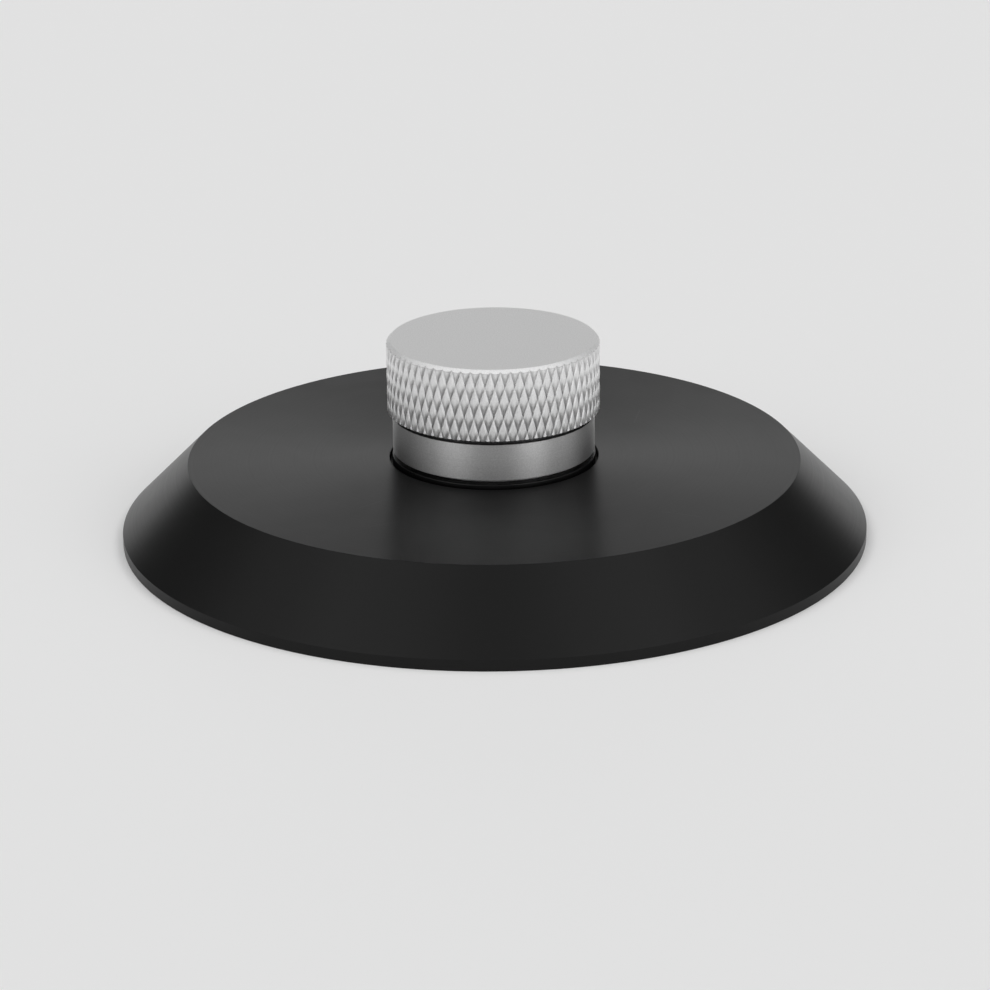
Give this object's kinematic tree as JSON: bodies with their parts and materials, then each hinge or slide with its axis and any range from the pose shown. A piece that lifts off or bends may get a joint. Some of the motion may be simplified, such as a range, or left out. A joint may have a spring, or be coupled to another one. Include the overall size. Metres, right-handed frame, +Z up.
{
  "type": "record weight clamp",
  "caption": "Bevelled round disc that presses on a record's label, with a knurled knob on top that draws a slotted collet up to grip the turntable's spindle.",
  "frame": {"origin": "centre of the face that presses on the record's label, on the spindle's axis", "axes": "+Z up along the spindle's axis, from the record towards the knob; the key pin lies towards +X"},
  "size_m": [0.1, 0.1, 0.0269],
  "materials": {
    "black_acetal": "satin, finely turned",
    "washer_acetal": "matt, turned",
    "pin_steel": "ground",
    "collet_brass": "turned",
    "knob_aluminium": "blasted and clear anodised, satin"
  },
  "bodies": {
    "disc": {"clamp_disc": "black_acetal", "thrust_washer": "washer_acetal", "key_pin": "pin_steel"},
    "collet": {"collet": "collet_brass"},
    "knob": {"knob": "knob_aluminium"}
  },
  "joints": [
    {"name": "knob_turn", "type": "hinge", "parent": "disc", "child": "knob", "pos_m": [0, 0, 0.011], "axis": [0, 0, 1], "range_deg": [-360, 0]},
    {"name": "collet_draw", "type": "slide", "parent": "disc", "child": "collet", "axis": [0, 0, 1], "range_m": [0, 0.001]}
  ],
  "couplings": [
    {"joint": "collet_draw", "follows": "knob_turn", "m_per_rad": -0.00015915}
  ]
}
